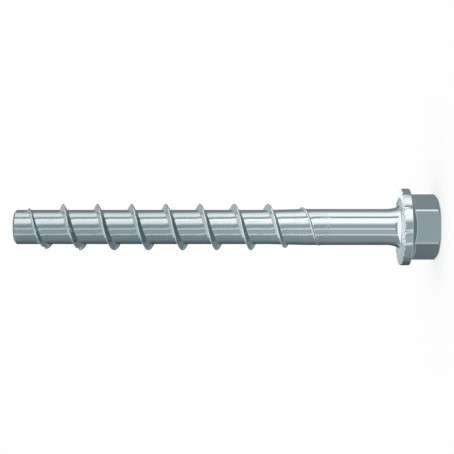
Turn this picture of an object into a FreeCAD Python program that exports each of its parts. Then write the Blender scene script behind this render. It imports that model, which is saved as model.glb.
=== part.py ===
"""Hex flange head concrete screw, one solid of zinc plated steel, in millimetres.

The origin is the centre of the bearing face under the flange. +Z runs along the shank to the tip,
and the head lies below the origin, so the screw stands on its head. +X and -X pass through two
corners of the hexagon.
"""

import FreeCAD
import Part

import math
import os

# Shank and core
length_under_head = 85.2
shank_diameter = 8.0
core_diameter = 7.6
core_taper_start = 20.8
core_taper_length = 8.0
tip_chamfer = 0.4

# Cutting thread: one right-hand ridge with a trapezoid section
thread_diameter = 10.3
thread_pitch = 7.58
thread_crest_width = 0.25
thread_flank_angle = 25.0
thread_phase = 6.37
thread_root_depth = 0.35
ridge_end_depth = 0.05
points_per_turn = 16

# Start of the ridge behind the tip, and its run-out towards the head, as heights over the face
thread_tip_gap = 1.2
thread_rise_length = 9.6
run_out_start = 29.6
run_out_step = 25.6
run_out_step_ridge = 0.67
run_out_end = 14.8

# Saw teeth notched into the crest of the first turns
notch_spacing = 72.0
notch_phase = -103.0
notched_length = 15.0
notch_depth_share = 0.48
notch_sweep = 20.0
notch_clearance = 0.6
least_notched_ridge = 0.2

# Neck: the shank flares gently towards the flange, with a small fillet at its foot
neck_flare_length = 2.9
neck_flare_radius = 6.4
neck_fillet = 0.35

# Flange
flange_diameter = 17.0
rim_height = 2.15
rim_front_chamfer = 0.25
rim_back_chamfer = 0.2
back_rise = 0.9
back_sag = 0.05

# Locking teeth under the flange
locking_teeth = 30
locking_tooth_depth = 0.3
locking_tooth_phase = -84.0
smooth_ring_width = 1.5
ramp_overrun = 1.0

# Hexagon
hex_across_flats = 12.7
head_height = 8.35
hex_corner_radius = 0.5
hex_chamfer_angle = 33.0
hex_chamfer_inset = 0.06

NODE = "concrete_screw"

core_radius = core_diameter / 2
shank_radius = shank_diameter / 2
crest_radius = thread_diameter / 2
flange_radius = flange_diameter / 2
rise_start = length_under_head - thread_tip_gap

# The two hollow arcs of the neck touch where the flare has leaned out by neck_lean degrees
lean_sine = (neck_flare_length - neck_fillet) / (neck_flare_radius - neck_fillet)
neck_lean = math.degrees(math.asin(lean_sine))
flare_centre = (shank_radius + neck_flare_radius, neck_flare_length)
lean_reach = (neck_flare_radius - neck_fillet) * math.cos(math.radians(neck_lean))
neck_radius = flare_centre[0] - lean_reach
fillet_centre = (neck_radius, neck_fillet)


def polar_point(radius, degrees, height):
    angle = math.radians(degrees)
    return FreeCAD.Vector(radius * math.cos(angle), radius * math.sin(angle), height)


def line(start, end):
    """A straight edge between two (radius, height) points of the turned profile."""
    return Part.LineSegment(profile_point(start), profile_point(end)).toShape()


def arc(start, middle, end):
    """A round edge through three (radius, height) points of the turned profile."""
    return Part.Arc(*[profile_point(p) for p in (start, middle, end)]).toShape()


def profile_point(radius_and_height):
    radius, height = radius_and_height
    return FreeCAD.Vector(radius, 0, height)


def around(centre, radius, lean):
    """The (radius, height) point of a hollow arc where its surface leans out by this many degrees."""
    angle = math.radians(lean)
    return centre[0] - radius * math.cos(angle), centre[1] - radius * math.sin(angle)


def turned_blank():
    """Tip, core, shank, flared neck and flange as one revolved profile."""
    tip = length_under_head
    taper_end = core_taper_start + core_taper_length
    hex_root_radius = hex_across_flats / 2
    hex_root_height = -rim_height - back_rise

    flare_middle = around(flare_centre, neck_flare_radius, neck_lean / 2)
    flare_end = around(flare_centre, neck_flare_radius, neck_lean)
    fillet_middle = around(fillet_centre, neck_fillet, (neck_lean + 90) / 2)

    face_edge = (flange_radius - rim_front_chamfer, 0)
    rim_front = (flange_radius, -rim_front_chamfer)
    rim_back = (flange_radius, -rim_height + rim_back_chamfer)
    rim_inner = (flange_radius - rim_back_chamfer, -rim_height)

    hex_root = (hex_root_radius, hex_root_height)
    back_middle = (
        (rim_inner[0] + hex_root[0]) / 2,
        (rim_inner[1] + hex_root[1]) / 2 + back_sag,
    )

    edges = [
        line((0, tip), (core_radius - tip_chamfer, tip)),
        line((core_radius - tip_chamfer, tip), (core_radius, tip - tip_chamfer)),
        line((core_radius, tip - tip_chamfer), (core_radius, taper_end)),
        line((core_radius, taper_end), (shank_radius, core_taper_start)),
        line((shank_radius, core_taper_start), (shank_radius, neck_flare_length)),
        arc((shank_radius, neck_flare_length), flare_middle, flare_end),
        arc(flare_end, fillet_middle, (neck_radius, 0)),
        line((neck_radius, 0), face_edge),
        line(face_edge, rim_front),
        line(rim_front, rim_back),
        line(rim_back, rim_inner),
        arc(rim_inner, back_middle, hex_root),
        line(hex_root, (0, hex_root_height)),
        line((0, hex_root_height), (0, tip)),
    ]
    face = Part.Face(Part.Wire(edges))
    return face.revolve(FreeCAD.Vector(0, 0, 0), FreeCAD.Vector(0, 0, 1), 360)


def hexagon():
    """The wrench head: a prism with rounded corners, its top edge cut back by a cone."""
    half_flats = hex_across_flats / 2
    corner_reach = half_flats / math.cos(math.radians(30))
    corners = [polar_point(corner_reach, 60 * i, -head_height) for i in range(6)]
    outline = Part.makePolygon(corners + corners[:1])
    prism = Part.Face(outline).extrude(FreeCAD.Vector(0, 0, head_height - rim_height / 2))
    upright = [e for e in prism.Edges if abs(e.tangentAt(e.FirstParameter).z) > 0.9]
    prism = prism.makeFillet(hex_corner_radius, upright)

    chamfer_circle = half_flats - hex_chamfer_inset
    chamfer_rise = (corner_reach - chamfer_circle) * math.tan(math.radians(hex_chamfer_angle))
    top = FreeCAD.Vector(0, 0, -head_height)
    cone = Part.makeCone(chamfer_circle, corner_reach, chamfer_rise, top)
    below = FreeCAD.Vector(0, 0, -head_height + chamfer_rise)
    barrel = Part.makeCylinder(corner_reach, head_height, below)
    return prism.common(cone.fuse(barrel))


def crest_radius_at(height):
    """Radius of the crest: it rises behind the tip, and near the head it sinks in two steps."""
    behind_tip = (rise_start - height) / thread_rise_length
    if behind_tip < 1:
        start = core_radius - ridge_end_depth
        return start + (crest_radius - start) * math.sin(math.pi / 2 * max(behind_tip, 0))
    step_radius = shank_radius + run_out_step_ridge
    if height > run_out_step:
        share = (height - run_out_step) / (run_out_start - run_out_step)
        return step_radius + (crest_radius - step_radius) * min(share, 1)
    end = shank_radius - ridge_end_depth
    share = (height - run_out_end) / (run_out_step - run_out_end)
    return end + (step_radius - end) * max(share, 0)


def ridge_height_at_angle(degrees):
    """Height of the middle of the ridge after this turn from +X, right-handed about +Z."""
    return thread_phase + thread_pitch * degrees / 360


def ridge_section(height):
    """Corners of the ridge's section where its middle passes this height, tip side first."""
    degrees = 360 * (height - thread_phase) / thread_pitch
    crest = crest_radius_at(height)
    root = core_radius - thread_root_depth
    half_crest = thread_crest_width / 2
    half_root = half_crest + (crest - root) * math.tan(math.radians(thread_flank_angle))
    return [
        polar_point(root, degrees, height + half_root),
        polar_point(crest, degrees, height + half_crest),
        polar_point(crest, degrees, height - half_crest),
        polar_point(root, degrees, height - half_root),
    ]


def thread_turns():
    """The ridge as a row of solids, each lofted through the sections of about one turn."""
    count = math.ceil((rise_start - run_out_end) / thread_pitch)
    step = (rise_start - run_out_end) / count / points_per_turn
    turns = []
    for turn in range(count):
        wires = []
        for point in range(points_per_turn + 1):
            corners = ridge_section(rise_start - step * (turn * points_per_turn + point))
            wires.append(Part.makePolygon(corners + corners[:1]))
        turns.append(Part.makeLoft(wires, True, False))
    return turns


def saw_notch(degrees):
    """A wedge with its cutting face at this angle. Its back slopes out in the driving direction."""
    height = ridge_height_at_angle(degrees)
    crest = crest_radius_at(height)
    floor = crest - (crest - core_radius) * notch_depth_share
    outer = crest + notch_clearance
    back = degrees + notch_sweep
    back_crest = crest_radius_at(ridge_height_at_angle(back))
    bottom = height - thread_pitch / 4
    outline = [
        polar_point(floor, degrees, bottom),
        polar_point(back_crest, back, bottom),
        polar_point(outer, back, bottom),
        polar_point(outer, degrees, bottom),
    ]
    face = Part.Face(Part.makePolygon(outline + outline[:1]))
    return face.extrude(FreeCAD.Vector(0, 0, thread_pitch / 2))


def saw_notches():
    """Notches at even angles along the first turns, from where the ridge stands high enough."""
    notches = []
    degrees = notch_phase
    while ridge_height_at_angle(degrees) < rise_start:
        height = ridge_height_at_angle(degrees)
        stands_high = crest_radius_at(height) > core_radius + least_notched_ridge
        if height > rise_start - notched_length and stands_high:
            notches.append(saw_notch(degrees))
        degrees += notch_spacing
    return notches


def locking_ramp(index):
    """The ramp cut ahead of one locking tooth. It ends, at its deepest, at the next tooth's face."""
    step = 360 / locking_teeth
    start = locking_tooth_phase + index * step
    end = start + step
    sections = []
    for radius in (neck_radius + smooth_ring_width, flange_radius + ramp_overrun):
        corners = [
            polar_point(radius, start, 0),
            polar_point(radius, end, 0),
            polar_point(radius, end, -locking_tooth_depth),
        ]
        sections.append(Part.makePolygon(corners + corners[:1]))
    return Part.makeLoft(sections, True, True)


def concrete_screw():
    body = turned_blank().fuse(hexagon())
    body = body.cut([locking_ramp(i) for i in range(locking_teeth)])
    body = body.fuse(thread_turns())
    return body.cut(saw_notches()).removeSplitter()


os.makedirs("parts", exist_ok=True)
screw = concrete_screw()
print("valid", screw.isValid(), "solids", len(screw.Solids), "volume", round(screw.Volume, 1))
screw.exportStep(os.path.join("parts", NODE + ".step"))
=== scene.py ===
import math

import bpy
from mathutils import Matrix, Vector


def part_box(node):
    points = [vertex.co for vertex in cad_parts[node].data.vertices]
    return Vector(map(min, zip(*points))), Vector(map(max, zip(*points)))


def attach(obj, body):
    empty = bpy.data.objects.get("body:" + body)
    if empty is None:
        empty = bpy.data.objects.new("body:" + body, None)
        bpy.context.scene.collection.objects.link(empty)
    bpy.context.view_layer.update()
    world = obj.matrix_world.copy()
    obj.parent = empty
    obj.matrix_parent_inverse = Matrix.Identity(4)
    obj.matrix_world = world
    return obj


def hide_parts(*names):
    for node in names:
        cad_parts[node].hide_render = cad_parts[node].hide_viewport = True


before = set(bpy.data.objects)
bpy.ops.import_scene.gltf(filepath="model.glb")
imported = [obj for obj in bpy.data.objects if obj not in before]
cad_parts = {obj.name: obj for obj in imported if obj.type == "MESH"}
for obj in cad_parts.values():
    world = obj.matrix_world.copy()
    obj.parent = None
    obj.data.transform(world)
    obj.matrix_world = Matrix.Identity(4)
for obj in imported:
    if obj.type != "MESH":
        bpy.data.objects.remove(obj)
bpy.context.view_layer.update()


# The shank and its ridge. The real one is drawn steel wire, rolled between dies that raise one
# right-hand ridge out of the core, so core, ridge and plain shank are a single skin.
# The ridge rises behind the flat tip, and near the head it sinks away into the thicker shank.
NODE = "concrete_screw"
low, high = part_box(NODE)
mm = 0.001
same_place = 0.001 * mm
shank_radius = 4.0 * mm
core_radius = 3.8 * mm
taper_start = 20.8 * mm
taper_length = 8.0 * mm
plain_shank_top = 12.0 * mm
tip_chamfer = 0.4 * mm
chamfer_start = high.z - tip_chamfer

# The ridge's section, its lead, and where it begins and ends
crest_radius = 5.15 * mm
half_crest = 0.125 * mm
flank_slope = math.tan(math.radians(25))
pitch = 7.58 * mm
ridge_phase = 6.37 * mm
rise_start = high.z - 1.2 * mm
rise_length = 9.6 * mm
run_out_start = 29.6 * mm
run_out_step = 25.6 * mm
run_out_step_ridge = 0.67 * mm
run_out_end = 14.8 * mm
end_depth = 0.05 * mm
columns_per_turn = 180
threaded_turns = 12

# Rounding of its crest and root. Where the ridge is low, a round takes at most this share of it.
crest_round = 0.08 * mm
root_round = 0.13 * mm
root_rise = root_round * 0.9
most_crest_round = 0.25
most_root_rise = 0.4
most_root_round = 0.6
root_middle_along = 0.15
root_middle_up = 0.17
valley_rows = (0.34, 0.67)
least_spread = 0.1 * mm

# Saw notches: each has a steep cutting face and a sloping back
notch_spacing = 72.0
notch_phase = -103.0
notched_length = 15.0 * mm
notch_depth_share = 0.48
notch_sweep = 20.0
notch_face_lean = 0.25
notch_face_share = 0.6
least_notched_ridge = 0.2 * mm
rounding_margin = 1e-6


def polar(radius, degrees, height):
    angle = math.radians(degrees)
    return Vector((radius * math.cos(angle), radius * math.sin(angle), height))


def draw_outline(name, points):
    """A chain of edges through (radius, height) points on the +X side, extruded from one vertex."""
    bpy.ops.object.select_all(action="DESELECT")
    bpy.ops.mesh.primitive_plane_add(size=mm)
    outline = bpy.context.object
    outline.name = name
    bpy.ops.object.mode_set(mode="EDIT")
    bpy.ops.mesh.select_mode(type="VERT")
    bpy.ops.mesh.select_all(action="SELECT")
    bpy.ops.mesh.merge(type="CENTER")
    bpy.ops.transform.translate(value=(points[0][0], 0, points[0][1]))
    bpy.ops.object.mode_set(mode="OBJECT")
    bpy.ops.object.mode_set(mode="EDIT")
    for start, end in zip(points, points[1:]):
        step = (end[0] - start[0], 0, end[1] - start[1])
        bpy.ops.mesh.extrude_region_move(TRANSFORM_OT_translate={"value": step})
    bpy.ops.object.mode_set(mode="OBJECT")
    return outline


def turn_about_axis(outline, steps, turns, rise):
    """Turns the outline about Z, and gives it a rise for each turn where it is a thread."""
    bpy.ops.object.modifier_add(type="SCREW")
    turned = outline.modifiers[-1]
    turned.angle = math.radians(360)
    turned.screw_offset = rise
    turned.iterations = turns
    turned.steps = steps
    turned.render_steps = steps
    turned.use_merge_vertices = rise == 0
    turned.merge_threshold = same_place
    bpy.ops.object.modifier_apply(modifier=turned.name)


def select_rings(obj, heights, reach=math.inf):
    """Goes to edit mode with only the vertices at these heights selected, out to this radius."""
    bpy.ops.object.mode_set(mode="EDIT")
    bpy.ops.mesh.select_mode(type="VERT")
    bpy.ops.mesh.select_all(action="DESELECT")
    bpy.ops.object.mode_set(mode="OBJECT")
    for vertex in obj.data.vertices:
        at_height = any(abs(vertex.co.z - height) < same_place for height in heights)
        vertex.select = at_height and math.hypot(vertex.co.x, vertex.co.y) < reach
    bpy.ops.object.mode_set(mode="EDIT")


def surface_radius(height):
    """Radius of the shank between the ridge's turns."""
    share = min(max((height - taper_start) / taper_length, 0), 1)
    return shank_radius + (core_radius - shank_radius) * share


def ridge_height(height):
    """How far the crest stands over the shank's surface where the ridge passes this height."""
    behind_tip = (rise_start - height) / rise_length
    if behind_tip < 1:
        start = core_radius - end_depth
        crest = start + (crest_radius - start) * math.sin(math.pi / 2 * max(behind_tip, 0))
        return max(crest - surface_radius(height), 0)
    step_radius = shank_radius + run_out_step_ridge
    if height > run_out_step:
        share = min((height - run_out_step) / (run_out_start - run_out_step), 1)
        return step_radius + (crest_radius - step_radius) * share - surface_radius(height)
    share = max((height - run_out_end) / (run_out_step - run_out_end), 0)
    end = shank_radius - end_depth
    return max(end + (step_radius - end) * share - surface_radius(height), 0)


def ridge_middle(degrees):
    """Height of the middle of the ridge after this turn from +X."""
    return ridge_phase + pitch * degrees / 360


def notch_limit(degrees):
    """Greatest ridge height left by the saw notch at this angle. The last turns have no notch."""
    notch = math.floor((degrees - notch_phase) / notch_spacing + rounding_margin)
    face = notch_phase + notch_spacing * notch
    middle = ridge_middle(face)
    full = ridge_height(middle)
    if middle > rise_start or middle < rise_start - notched_length or full < least_notched_ridge:
        return crest_radius
    floor = full * (1 - notch_depth_share)
    back = ridge_height(ridge_middle(face + notch_sweep))
    share = (degrees - face) / notch_sweep
    return floor + (back - floor) * share if share < 1 else crest_radius


def ridge_section(ridge):
    """(offset along the axis, height over the shank) across a ridge this high, head side first."""
    spread = max(ridge, least_spread)
    crest_edge = min(crest_round, spread * most_crest_round)
    fillet_rise = min(root_rise, spread * most_root_rise)
    fillet = min(root_round, spread * most_root_round)
    root = half_crest + spread * flank_slope
    valley = pitch / 2 - root - fillet
    half = [
        (half_crest - crest_edge, spread),
        (half_crest + crest_edge * flank_slope, spread - crest_edge),
        (half_crest + spread * flank_slope / 2, spread / 2),
        (root - fillet_rise * flank_slope, fillet_rise),
        (root + fillet * root_middle_along, fillet * root_middle_up),
        (root + fillet, 0),
    ]
    half += [(root + fillet + valley * share, 0) for share in valley_rows]
    half.append((pitch / 2, 0))
    whole = [(-offset, rise) for offset, rise in reversed(half)] + half
    return [(offset, rise * ridge / spread) for offset, rise in whole]


section = ridge_section(crest_radius - core_radius)
start_height = ridge_middle(notch_phase)
points = [(core_radius + rise, start_height + offset) for offset, rise in section]
screw = draw_outline("screw", points)
turn_about_axis(screw, columns_per_turn, threaded_turns, pitch)

# Every column takes its own section. The one before a notch moves up to the notch's cutting face,
# which makes that face steep.
for vertex in screw.data.vertices:
    column, row = divmod(vertex.index, len(section))
    degrees = notch_phase + 360 * column / columns_per_turn
    middle = ridge_middle(degrees)
    offset, rise = ridge_section(ridge_height(middle))[row]
    next_degrees = degrees + 360 / columns_per_turn
    next_ridge = ridge_height(ridge_middle(next_degrees))
    if rise > 0 and notch_limit(next_degrees) < next_ridge * notch_face_share:
        degrees = next_degrees - notch_face_lean
    height = min(max(middle + offset, plain_shank_top), chamfer_start)
    rise = min(rise, notch_limit(degrees))
    vertex.co = polar(surface_radius(height) + rise, degrees, height)

bpy.ops.object.mode_set(mode="EDIT")
bpy.ops.mesh.select_all(action="SELECT")
bpy.ops.mesh.remove_doubles(threshold=same_place * 2)
bpy.ops.object.mode_set(mode="OBJECT")

select_rings(screw, [chamfer_start])
bpy.ops.mesh.extrude_region_move(TRANSFORM_OT_translate={"value": (0, 0, tip_chamfer)})
inner = (core_radius - tip_chamfer) / core_radius
bpy.ops.transform.resize(value=(inner, inner, 1), center_override=(0, 0, high.z))
bpy.ops.mesh.edge_face_add()
bpy.ops.object.mode_set(mode="OBJECT")


# The head. Flange and hexagon are forged in one blow on the end of the wire. The shank flares into
# a flat ring, and round it lie locking teeth that ramp one way only, a blunt rim, a dished back and
# the hexagon for a 13 mm wrench, whose end is cut back by a cone.
flare_length = 2.9 * mm
flare_radius = 6.4 * mm
neck_fillet = 0.35 * mm
smooth_ring_width = 1.5 * mm
flange_radius = high.x
rim_height = 2.15 * mm
rim_front_round = 0.25 * mm
rim_back_round = 0.2 * mm
back_rise = 0.9 * mm
back_sag = 0.05 * mm
teeth = 30
tooth_depth = 0.3 * mm
tooth_phase = -84.0
tooth_face_share = 0.13
tooth_run_in = 0.3 * mm
hex_half_flats = 6.35 * mm
hex_corner_round = 0.5 * mm
hex_root_fillet = 0.3 * mm
hex_edge_round = 0.06 * mm
most_edge_round = 0.3
hex_chamfer_inset = 0.06 * mm
hex_chamfer_angle = math.radians(33)
head_columns = 720
flare_steps = 12
fillet_steps = 6
round_steps = 4
back_steps = 6
crease_angle = math.radians(28)

neck_lean = math.asin((flare_length - neck_fillet) / (flare_radius - neck_fillet))
flare_centre = (shank_radius + flare_radius, flare_length)
neck_radius = flare_centre[0] - (flare_radius - neck_fillet) * math.cos(neck_lean)
ring_radius = neck_radius + smooth_ring_width
rim_inner = flange_radius - rim_back_round
chamfer_circle = hex_half_flats - hex_chamfer_inset
end_ring_radius = chamfer_circle / 2

# Half a hexagon's side seen from its middle, and the turn that each rounded corner takes up
half_side = math.radians(30)
corner_centre = (hex_half_flats - hex_corner_round) / math.cos(half_side)
corner_end = corner_centre + hex_corner_round * math.cos(half_side)
corner_turn = math.atan2(hex_corner_round * math.sin(half_side), corner_end)

# The head's mesh ends this far under the shank's, and one band of faces bridges the two
bridge_width = 0.5 * mm
neck_top = plain_shank_top - bridge_width


def hollow_arc(centre, radius, first_lean, last_lean, steps):
    """Points of a hollow arc between two leans of its surface from the axis."""
    points = []
    for step in range(steps + 1):
        lean = first_lean + (last_lean - first_lean) * step / steps
        points.append((centre[0] - radius * math.cos(lean), centre[1] - radius * math.sin(lean)))
    return points


def rounded_corner(start, corner, end):
    """Points from start to end of a bend that follows the lines to the corner."""
    points = []
    for step in range(round_steps + 1):
        share = step / round_steps
        weights = ((1 - share) ** 2, 2 * share * (1 - share), share**2)
        pairs = zip(start, corner, end)
        points.append(tuple(sum(w * v for w, v in zip(weights, values)) for values in pairs))
    return points


def face_depth(degrees):
    """Depth of the face under the crests of the teeth: a long ramp, then the next tooth's face."""
    share = (degrees - tooth_phase) * teeth / 360 % 1
    return tooth_depth * min(share / (1 - tooth_face_share), (1 - share) / tooth_face_share)


def back_height(radius):
    """Height of the flange's dished back."""
    share = (rim_inner - radius) / (rim_inner - hex_half_flats)
    return -rim_height - back_rise * share + back_sag * 4 * share * (1 - share)


def wall_radius(degrees):
    """Radius of the hexagon's wall, whose upright corners are rounded."""
    off_corner = math.radians(abs((degrees + 30) % 60 - 30))
    if off_corner < corner_turn:
        across = corner_centre * math.sin(off_corner)
        return corner_centre * math.cos(off_corner) + math.sqrt(hex_corner_round**2 - across**2)
    return hex_half_flats / math.cos(half_side - off_corner)


def flange_outline(degrees):
    """(radius, height) points from the shank down the neck, over the teeth and round the rim."""
    depth = face_depth(degrees)
    fillet_centre = (neck_radius, neck_fillet)
    right_angle = math.radians(90)
    points = [(shank_radius, neck_top)]
    points += hollow_arc(flare_centre, flare_radius, 0, neck_lean, flare_steps)
    points += hollow_arc(fillet_centre, neck_fillet, neck_lean, right_angle, fillet_steps)[1:]
    points += [(ring_radius, 0), (ring_radius + tooth_run_in, -depth)]
    points += rounded_corner(
        (flange_radius - rim_front_round, -depth),
        (flange_radius, -depth),
        (flange_radius, -depth - rim_front_round),
    )
    points += rounded_corner(
        (flange_radius, -rim_height + rim_back_round),
        (flange_radius, back_height(flange_radius)),
        (rim_inner, -rim_height),
    )
    return points


def hexagon_outline(degrees):
    """(radius, height) points from the back of the flange up the wall to the flat end."""
    wall = wall_radius(degrees)
    fall = back_height(wall + hex_root_fillet) - back_height(wall)
    slope = math.atan(fall / hex_root_fillet)
    foot = wall + hex_root_fillet * (1 - math.sin(slope))
    points = []
    for step in range(1, back_steps + 1):
        radius = rim_inner + (foot - rim_inner) * step / back_steps
        points.append((radius, back_height(radius)))
    centre_height = back_height(foot) - hex_root_fillet * math.cos(slope)
    for step in range(1, fillet_steps + 1):
        bend = slope + (math.radians(90) - slope) * step / fillet_steps
        reach = wall + hex_root_fillet * (1 - math.sin(bend))
        points.append((reach, centre_height + hex_root_fillet * math.cos(bend)))

    along, down = math.cos(hex_chamfer_angle), math.sin(hex_chamfer_angle)
    width = (wall - chamfer_circle) / along
    cut = low.z + width * down
    bevel = min(hex_edge_round, width * most_edge_round)
    upper_end = (wall - bevel * along, cut - bevel * down)
    points += rounded_corner((wall, cut + bevel), (wall, cut), upper_end)
    lower_start = (chamfer_circle + bevel * along, low.z + bevel * down)
    points += rounded_corner(lower_start, (chamfer_circle, low.z), (chamfer_circle - bevel, low.z))
    points.append((end_ring_radius, low.z))
    return points


columns = [360 * column / head_columns for column in range(head_columns)]
outlines = [flange_outline(degrees) + hexagon_outline(degrees) for degrees in columns]
head = draw_outline("head", outlines[0])
turn_about_axis(head, head_columns, 1, 0)
for vertex in head.data.vertices:
    column, row = divmod(vertex.index, len(outlines[0]))
    radius, height = outlines[column][row]
    vertex.co = polar(radius, columns[column], height)

select_rings(head, [low.z], end_ring_radius + same_place)
bpy.ops.mesh.edge_face_add()
bpy.ops.object.mode_set(mode="OBJECT")

bpy.ops.object.select_all(action="DESELECT")
head.select_set(True)
screw.select_set(True)
bpy.context.view_layer.objects.active = screw
bpy.ops.object.join()
select_rings(screw, [plain_shank_top, neck_top])
bpy.ops.mesh.bridge_edge_loops()
bpy.ops.mesh.select_all(action="SELECT")
bpy.ops.mesh.remove_doubles(threshold=same_place)
bpy.ops.mesh.normals_make_consistent(inside=False)
bpy.ops.object.mode_set(mode="OBJECT")
bpy.ops.object.shade_smooth_by_angle(angle=crease_angle)
bpy.ops.object.modifier_add(type="WEIGHTED_NORMAL")
screw.modifiers[-1].keep_sharp = True
bpy.ops.object.modifier_apply(modifier=screw.modifiers[-1].name)


# The finish of the whole screw: bright blue-white zinc, a few thousandths of a millimetre thick.
# The plain shank and the head mirror cleanly. Where the dies rolled the ridge, the skin is duller
# and has fine broken marks along the axis. Towards the tip the zinc grows rougher, and its colour
# darkens there as painted shade.
class Value:
    """A socket of a node tree, on which sums are written as on a number."""

    def __init__(self, tree, socket=None):
        self.tree = tree
        self.socket = socket

    def node(self, kind, settings, inputs, output=0):
        """A new node with its settings made first, then its sockets' values or links."""
        node = self.tree.nodes.new(kind)
        for name, value in settings.items():
            if name == "stops":
                while len(node.color_ramp.elements) < len(value):
                    node.color_ramp.elements.new(1)
                for element, (position, colour) in zip(node.color_ramp.elements, value):
                    element.position = position
                    element.color = colour
            else:
                setattr(node, name, value)
        for name, value in inputs.items():
            if isinstance(value, Value):
                self.tree.links.new(value.socket, node.inputs[name])
            else:
                node.inputs[name].default_value = value
        return Value(self.tree, node.outputs[output])

    def feed(self, slot):
        self.tree.links.new(self.socket, slot)

    def sum_node(self, operation, first, second):
        return self.node("ShaderNodeMath", {"operation": operation}, {0: first, 1: second})

    def __add__(self, other):
        return self.sum_node("ADD", self, other)

    def __radd__(self, other):
        return self.sum_node("ADD", other, self)

    def __sub__(self, other):
        return self.sum_node("SUBTRACT", self, other)

    def __rsub__(self, other):
        return self.sum_node("SUBTRACT", other, self)

    def __mul__(self, other):
        return self.sum_node("MULTIPLY", self, other)

    def __rmul__(self, other):
        return self.sum_node("MULTIPLY", other, self)

    def __abs__(self):
        return self.sum_node("ABSOLUTE", self, 0)

    def rise(self, low_end, high_end):
        """Goes smoothly from 0 at low_end to 1 at high_end."""
        ends = {"Value": self, "From Min": low_end, "From Max": high_end}
        return self.node("ShaderNodeMapRange", {"interpolation_type": "SMOOTHSTEP"}, ends)

    def blend(self, first, second):
        """A colour that goes from first, where this value is 0, to second, where it is 1."""
        return self.node("ShaderNodeMix", {"data_type": "RGBA"}, {0: self, 6: first, 7: second}, 2)


clean_zinc = (0.65, 0.71, 0.725, 1)
# Painted shade: the darker zinc that the colour fades to towards the tip
shaded_tip_zinc = (0.50, 0.565, 0.585, 1)
marked_zinc = (0.40, 0.46, 0.48, 1)
cut_zinc = (0.20, 0.215, 0.22, 1)
dull_and_shade_start = 16.0 * mm
dull_and_shade_end = 62.0 * mm
rolling_end = 16.1 * mm
rolling_fringe = 1.0 * mm
fringe_raggedness = 4
cut_start = high.z - tip_chamfer * 0.9
cut_end = high.z - tip_chamfer * 0.6

# Marks that the dies leave: long streaks and short ticks, each seen where its noise is high
streak_width = 0.18 * mm
streak_length = 7.0 * mm
streak_edge = (0.52, 0.66)
tick_width = 0.22 * mm
tick_length = 0.45 * mm
tick_edge = (0.58, 0.70)
mark_strength = 0.35
cloud_size = 4.0 * mm

# Roughness of the clean plating and what each change of the skin adds to it, then the relief
clean_roughness = 0.06
cloud_roughness = 0.02
rolled_roughness = 0.03
dull_roughness = 0.02
cut_roughness = 0.2
relief_depth = 0.012 * mm
cloud_relief = 0.1
streak_relief = 0.25
tick_relief = 0.8

zinc = bpy.data.materials.new("zinc_plating")
zinc.use_nodes = True
shader = zinc.node_tree.nodes["Principled BSDF"]
place = Value(zinc.node_tree).node("ShaderNodeTexCoord", {}, {}, "Object")
height = place.node("ShaderNodeSeparateXYZ", {}, {0: place}, "Z")


def stretched_noise(width, length, detail):
    """Noise with grains of this width across the axis and this length along it, from 0 to 1."""
    scale = (1 / width, 1 / width, 1 / length)
    grain = place.node("ShaderNodeMapping", {}, {"Vector": place, "Scale": scale})
    settings = {"Vector": grain, "Scale": 1.0, "Detail": detail}
    return place.node("ShaderNodeTexNoise", {}, settings, "Fac")


streaks = stretched_noise(streak_width, streak_length, 2)
ticks = stretched_noise(tick_width, tick_length, 1)
clouds = stretched_noise(cloud_size, cloud_size, 2)
edge = height + (ticks - 0.5) * rolling_fringe * fringe_raggedness
rolled = edge.rise(rolling_end - rolling_fringe / 2, rolling_end + rolling_fringe / 2)
# Towards the tip the skin grows rougher, and its colour darkens there as painted shade
dulled_and_shaded = height.rise(dull_and_shade_start, dull_and_shade_end)
marks = streaks.rise(*streak_edge) * mark_strength + ticks.rise(*tick_edge) * mark_strength
marked = rolled * marks
skin = marked.blend(dulled_and_shaded.blend(clean_zinc, shaded_tip_zinc), marked_zinc)
cut = height.rise(cut_start, cut_end)
cut.blend(skin, cut_zinc).feed(shader.inputs["Base Color"])
roughness = clean_roughness + clouds * cloud_roughness + rolled * rolled_roughness
roughness = roughness + dulled_and_shaded * dull_roughness + cut * cut_roughness
roughness.feed(shader.inputs["Roughness"])
relief = clouds * cloud_relief + rolled * (streaks * streak_relief + ticks * tick_relief)
bump = {"Height": relief, "Strength": 1.0, "Distance": relief_depth}
relief.node("ShaderNodeBump", {}, bump).feed(shader.inputs["Normal"])
shader.inputs["Metallic"].default_value = 1.0

screw.data.materials.clear()
screw.data.materials.append(zinc)
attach(screw, "root")
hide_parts(NODE)


# The studio: a pale floor under the head, and white and grey panels that stand round the screw's
# axis. Only the metal mirrors the panels. The ground behind is white, and the floor keeps shadows.
floor_size = 3.0
floor_glow = 0.6
floor_grey = (0.8, 0.8, 0.8, 1)
floor_roughness = 0.9
white = (1, 1, 1, 1)
black = (0, 0, 0, 1)

# The ring of panels, as (degrees round the axis from the front towards +X, brightness)
panels = [
    (-180, 0.09), (-145, 0.09), (-135, 0.14), (-125, 0.19), (-110, 0.26), (-98, 0.34),
    (-57, 0.40), (-53, 0.98), (-49, 0.98), (-45, 0.52), (-27, 0.58), (-23, 0.40),
    (-14, 0.95), (-9, 0.95), (-5, 0.47), (12, 0.46), (16, 0.62), (22, 1.05),
    (30, 1.40), (45, 1.38), (49, 1.80), (54, 1.50), (59, 0.40), (65, 0.36),
    (70, 0.80), (77, 1.40), (92, 1.26), (104, 0.95), (112, 0.68), (118, 0.33),
    (148, 0.32), (168, 0.10),
]

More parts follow.
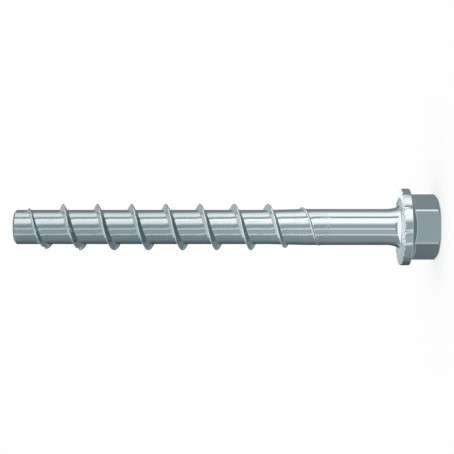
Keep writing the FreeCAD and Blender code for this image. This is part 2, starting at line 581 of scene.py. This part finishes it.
# Panels over and under the ring. An edge is given by where its fade begins and ends: sides in
# degrees round the axis, feet and tops by the sine of the angle over or under the horizon.
gap_shade = 0.38
gap_sides = (25, 31)
gap_foot = (0.34, 0.37)
overhead_shade = 1.35
overhead_foot = (0.46, 0.50)
ceiling_shade = 0.64
ceiling_sides = (105, 125)
ceiling_foot = (0.18, 0.26)
doorway_sides = (173, 176)
doorway_foot = (0.05, 0.08)
low_panel_shade = 1.2
low_panel_middle = -40
low_panel_sides = (68, 84)
low_panel_top = (0.31, 0.36)
low_side_shade = 0.40
low_back_shade = 0.30
low_back_sides = (100, 120)
low_back_top = (0.19, 0.25)
pit_top = (0.52, 0.60)

# Brightness over which a panel goes from the blue of the shade to neutral white
shade_end = 0.5
lit_range = 0.6
shade_red = 0.84
shade_blue = 1.06


def tone(shade):
    """Colour of a panel of this brightness: neutral where it is lit, slightly blue in the shade."""
    lit = min(max((shade - shade_end) / lit_range, 0), 1)
    red = shade_red + (1 - shade_red) * lit
    blue = shade_blue + (1 - shade_blue) * lit
    return (shade * red, shade, shade * blue, 1)


bpy.ops.object.select_all(action="DESELECT")
bpy.ops.mesh.primitive_plane_add(size=floor_size, location=(0, 0, low.z))
floor = bpy.context.object
floor.name = "floor"
floor.visible_glossy = False
pale = bpy.data.materials.new("floor")
pale.use_nodes = True
pale_shader = pale.node_tree.nodes["Principled BSDF"]
seen = Value(pale.node_tree).node("ShaderNodeLightPath", {}, {}, "Is Camera Ray")
seen_grey = (1 - floor_glow,) * 3 + (1,)
glow = (floor_glow,) * 3 + (1,)
seen.blend(floor_grey, seen_grey).feed(pale_shader.inputs["Base Color"])
seen.blend(black, glow).feed(pale_shader.inputs["Emission Color"])
pale_shader.inputs["Emission Strength"].default_value = 1.0
pale_shader.inputs["Roughness"].default_value = floor_roughness
pale_shader.inputs["Specular IOR Level"].default_value = 0.0
floor.data.materials.append(pale)

world = bpy.data.worlds.new("studio")
bpy.context.scene.world = world
world.use_nodes = True
world.node_tree.nodes.clear()
sky = Value(world.node_tree)
direction = sky.node("ShaderNodeTexCoord", {}, {}, "Generated")
across = sky.node("ShaderNodeSeparateXYZ", {}, {0: direction}, "X")
away = sky.node("ShaderNodeSeparateXYZ", {}, {0: direction}, "Y")
up = sky.node("ShaderNodeSeparateXYZ", {}, {0: direction}, "Z")
down = up * -1
turn = across.sum_node("ARCTAN2", across, away * -1) * (1 / math.radians(360))
off_front = abs(turn) * 360
off_low_panel = abs(turn * 360 - low_panel_middle)

stops = [((degrees + 180) / 360, tone(shade)) for degrees, shade in panels]
mirrored = turn.node("ShaderNodeValToRGB", {"stops": stops}, {"Fac": turn + 0.5}, "Color")
in_gap = up.rise(*gap_foot) * (1 - off_front.rise(*gap_sides))
mirrored = in_gap.blend(mirrored, tone(gap_shade))
mirrored = up.rise(*overhead_foot).blend(mirrored, tone(overhead_shade))
behind = off_front.rise(*ceiling_sides) * up.rise(*ceiling_foot)
mirrored = behind.blend(mirrored, tone(ceiling_shade))
doorway = off_front.rise(*doorway_sides) * up.rise(*doorway_foot)
mirrored = doorway.blend(mirrored, tone(ceiling_shade))
low_behind = off_front.rise(*low_back_sides) * down.rise(*low_back_top)
mirrored = low_behind.blend(mirrored, tone(low_back_shade))
low_panel = off_low_panel.rise(*low_panel_sides).blend(tone(low_panel_shade), tone(low_side_shade))
mirrored = down.rise(*low_panel_top).blend(mirrored, low_panel)
mirrored = down.rise(*pit_top).blend(mirrored, tone(low_back_shade))

glossy = sky.node("ShaderNodeLightPath", {}, {}, "Is Glossy Ray")
shown = glossy.blend(white, mirrored)
background = sky.node("ShaderNodeBackground", {}, {"Color": shown, "Strength": 1.0})
output = world.node_tree.nodes.new("ShaderNodeOutputWorld")
background.feed(output.inputs["Surface"])


# The camera looks across the standing screw along +Y, and is rolled a quarter turn, so that the
# head is at the right of the picture and the tip at the left, as in the photograph.
image_width = 454
pixels_per_mm = 4.505
bearing_face_column = 399.2
camera_foot_column = 240.0
camera_distance = 278.0 * mm
nearest_seen = 10.0 * mm
sensor_width = 36.0

bpy.ops.object.camera_add()
camera = bpy.context.object
camera_height = (bearing_face_column - camera_foot_column) / pixels_per_mm * mm
quarter_turn = Matrix(((0, 1, 0), (0, 0, -1), (-1, 0, 0))).to_4x4()
camera.matrix_world = Matrix.Translation((0, -camera_distance, camera_height)) @ quarter_turn
camera.data.sensor_width = sensor_width
camera.data.lens = pixels_per_mm * camera_distance / mm * sensor_width / image_width
camera.data.shift_x = (image_width / 2 - camera_foot_column) / image_width
camera.data.clip_start = nearest_seen
bpy.context.scene.camera = camera
bpy.context.scene.view_settings.view_transform = "Standard"
